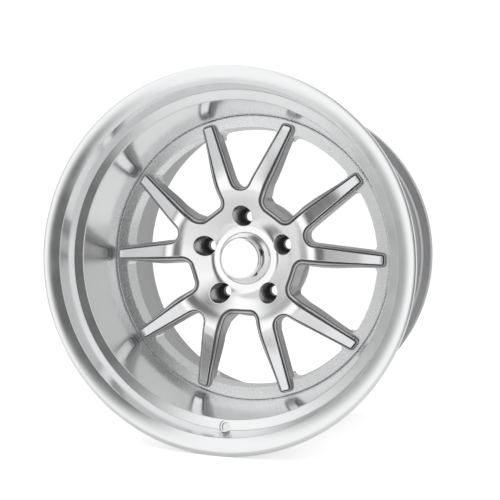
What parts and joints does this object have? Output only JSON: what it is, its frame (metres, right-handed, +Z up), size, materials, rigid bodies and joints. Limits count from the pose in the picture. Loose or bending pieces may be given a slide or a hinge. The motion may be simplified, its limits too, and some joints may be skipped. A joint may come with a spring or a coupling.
{
  "type": "wheel rim",
  "caption": "Deep-lip forged wheel rim: stepped polished outer shell, satin inner shell, concave split-spoke centre with steel lug seats and a pull-off centre cap.",
  "frame": {"origin": "centre of the hub's mounting face, which is also the middle of the rim", "axes": "+Y along the axle towards the car, so the visible face looks along -Y; +Z up, one narrow window straight up; +X to the right as seen from the front"},
  "size_m": [0.4969, 0.331, 0.497],
  "materials": {
    "polished_alloy": "mirror-polished",
    "satin_alloy": "satin, as spun",
    "machined_alloy": "machined bright, satin in the windows",
    "weld_metal": "as welded",
    "black_steel": "black oxide",
    "bright_cap": "polished",
    "seal_rubber": "matt"
  },
  "bodies": {
    "wheel": {"outer_shell": "polished_alloy", "inner_shell": "satin_alloy", "girth_weld": "weld_metal", "forged_centre": "machined_alloy", "centre_weld": "weld_metal", "lug_seat_1": "black_steel", "lug_seat_2": "black_steel", "lug_seat_3": "black_steel", "lug_seat_4": "black_steel", "lug_seat_5": "black_steel"},
    "cap": {"centre_cap": "bright_cap", "cap_seal": "seal_rubber"}
  },
  "joints": [
    {"name": "cap_pull", "type": "slide", "parent": "wheel", "child": "cap", "axis": [0, -1, 0], "range_m": [0, 0.04]}
  ]
}
